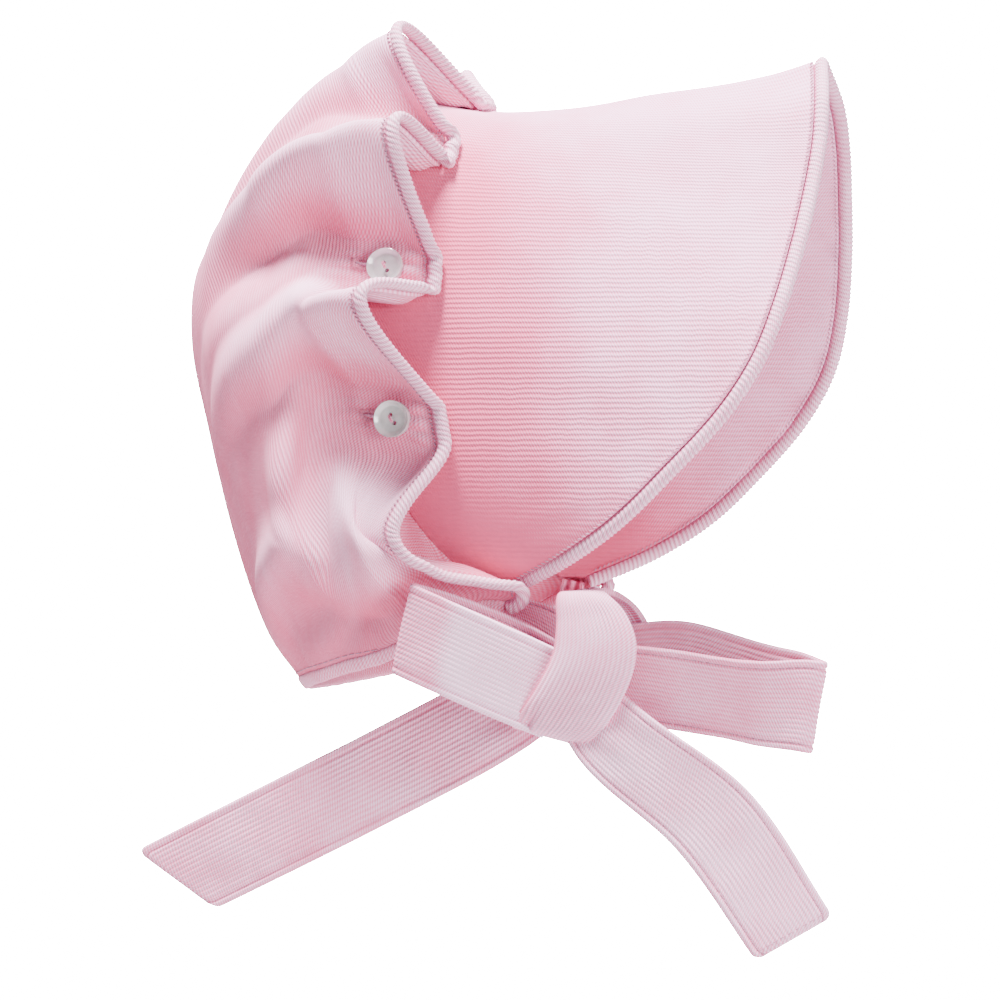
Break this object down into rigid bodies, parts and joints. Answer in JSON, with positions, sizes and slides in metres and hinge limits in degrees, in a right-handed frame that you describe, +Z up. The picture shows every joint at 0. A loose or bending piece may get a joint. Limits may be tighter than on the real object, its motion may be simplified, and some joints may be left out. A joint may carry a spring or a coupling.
{
  "type": "baby sun bonnet",
  "caption": "Corduroy baby bonnet with a deep peaked visor, a gathered hood buttoned on behind it, and ties knotted in a bow under the chin.",
  "frame": {"origin": "where the head meets the bonnet: inside the top of the visor's back edge", "axes": "+X towards the front of the visor, -Y the side with the bow, +Z up"},
  "size_m": [0.2349, 0.1692, 0.3084],
  "materials": {
    "corduroy": "fine-wale cotton corduroy, pale pink",
    "piping": "rolled corduroy binding, pale pink",
    "button": "translucent white nylon"
  },
  "bodies": {
    "root": {"brim": "corduroy", "brim_edge": "piping", "button_top": "button", "button_near_high": "button", "button_near_mid": "button", "button_near_low": "button", "button_far_high": "button", "button_far_mid": "button", "button_far_low": "button", "crown": "corduroy", "crown_edge": "piping", "crown_hem": "corduroy", "bow_knot": "corduroy", "bow_tail_left": "corduroy", "bow_tail_right": "corduroy", "bow_loop_left": "corduroy", "bow_loop_right": "corduroy", "tie_strap_near": "corduroy", "tie_strap_far": "corduroy"}
  },
  "joints": []
}
